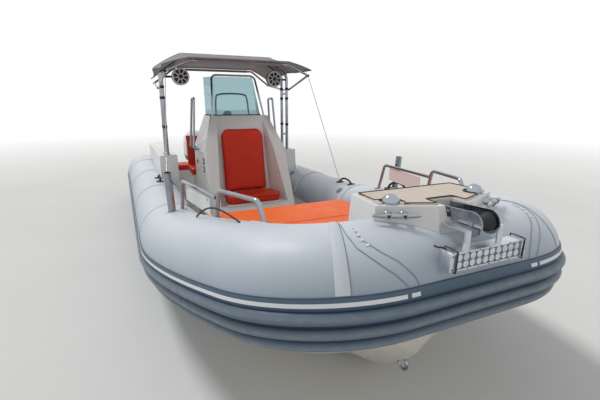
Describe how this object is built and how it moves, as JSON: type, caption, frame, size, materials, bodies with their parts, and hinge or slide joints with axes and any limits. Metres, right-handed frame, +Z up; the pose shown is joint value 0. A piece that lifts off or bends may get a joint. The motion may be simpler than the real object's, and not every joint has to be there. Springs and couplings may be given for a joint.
{
  "type": "rigid inflatable boat",
  "caption": "Open rigid inflatable boat with a moulded V hull, air tube collar, centre console with front seat, arch with cloth top, and outboard engine.",
  "frame": {"origin": "on the centreline amidships, at the waterline", "axes": "+X to the bow, +Y to port, +Z up"},
  "size_m": [6.6219, 2.424, 2.8423],
  "materials": {
    "tube": "light grey coated fabric, satin",
    "strake": "blue-grey ribbed rubber",
    "gelcoat": "off-white moulded gelcoat",
    "tread": "tan tread pad",
    "stainless": "polished stainless steel",
    "rubber": "black rubber",
    "lamp": "silver lamp housing",
    "board": "blank white board",
    "sunpad": "orange coated cloth",
    "seat_red": "deep orange-red coated cloth",
    "glass": "tinted screen",
    "black": "black moulded plastic",
    "canopy": "taupe-grey awning cloth",
    "engine": "plain painted engine cover",
    "engine_leg": "painted castings"
  },
  "bodies": {
    "boat": {"hull": "gelcoat", "deck": "gelcoat", "transom": "gelcoat", "bow_locker": "gelcoat", "sun_pad": "sunpad", "tube_collar": "tube", "rub_strake": "strake", "bow_fairing": "gelcoat", "fairing_pad": "tread", "roller_cheeks": "stainless", "bow_lamps": "stainless", "bow_cleats": "stainless", "light_bar": "lamp", "bow_eye": "stainless", "bow_rails": "stainless", "side_rails": "stainless", "name_boards": "board", "rod_holders": "stainless", "console": "gelcoat", "door_hinges": "stainless", "back_cushion": "seat_red", "windscreen": "glass", "windscreen_frame": "stainless", "console_rails": "stainless", "helm_controls": "black", "helm_seat_base": "gelcoat", "helm_cushions": "seat_red", "coamings": "gelcoat", "arch": "stainless", "canopy": "canopy", "canopy_hoops": "stainless", "speakers": "black", "stays": "stainless", "stern_bench": "gelcoat", "stern_cushion": "seat_red", "engine_bracket": "engine_leg"},
    "roller": {"anchor_roller": "rubber"},
    "door": {"console_door": "gelcoat"},
    "front_seat": {"seat_lid": "gelcoat", "seat_cushion": "seat_red"},
    "helm_wheel": {"steering_wheel": "black"},
    "swivel": {"engine_swivel": "engine_leg"},
    "engine": {"engine_leg": "engine_leg", "engine_cowl": "engine"},
    "propeller": {"propeller": "engine_leg"}
  },
  "joints": [
    {"name": "roller_spin", "type": "hinge", "parent": "boat", "child": "roller", "pos_m": [3.165, 0, 1.072], "axis": [0, 1, 0], "continuous": true},
    {"name": "door_swing", "type": "hinge", "parent": "boat", "child": "door", "pos_m": [-0.07, -0.458, 0.86], "axis": [0, 0, 1], "range_deg": [0, 110]},
    {"name": "seat_lid_lift", "type": "hinge", "parent": "boat", "child": "front_seat", "pos_m": [0.345, 0, 0.479], "axis": [0, 1, 0], "range_deg": [0, 95]},
    {"name": "wheel_turn", "type": "hinge", "parent": "boat", "child": "helm_wheel", "pos_m": [-0.67682, 0, 1.17376], "axis": [-0.9746, 0, 0.224], "range_deg": [-810, 810]},
    {"name": "engine_tilt", "type": "hinge", "parent": "boat", "child": "swivel", "pos_m": [-2.835, 0, 0.42], "axis": [0, 1, 0], "range_deg": [0, 60]},
    {"name": "engine_steer", "type": "hinge", "parent": "swivel", "child": "engine", "pos_m": [-2.93, 0, 0.25], "axis": [0, 0, 1], "range_deg": [-30, 30]},
    {"name": "propeller_spin", "type": "hinge", "parent": "engine", "child": "propeller", "pos_m": [-3.215, 0, -0.56], "axis": [1, 0, 0], "continuous": true}
  ],
  "couplings": [
    {"joint": "wheel_turn", "follows": "engine_steer", "ratio": -27}
  ]
}
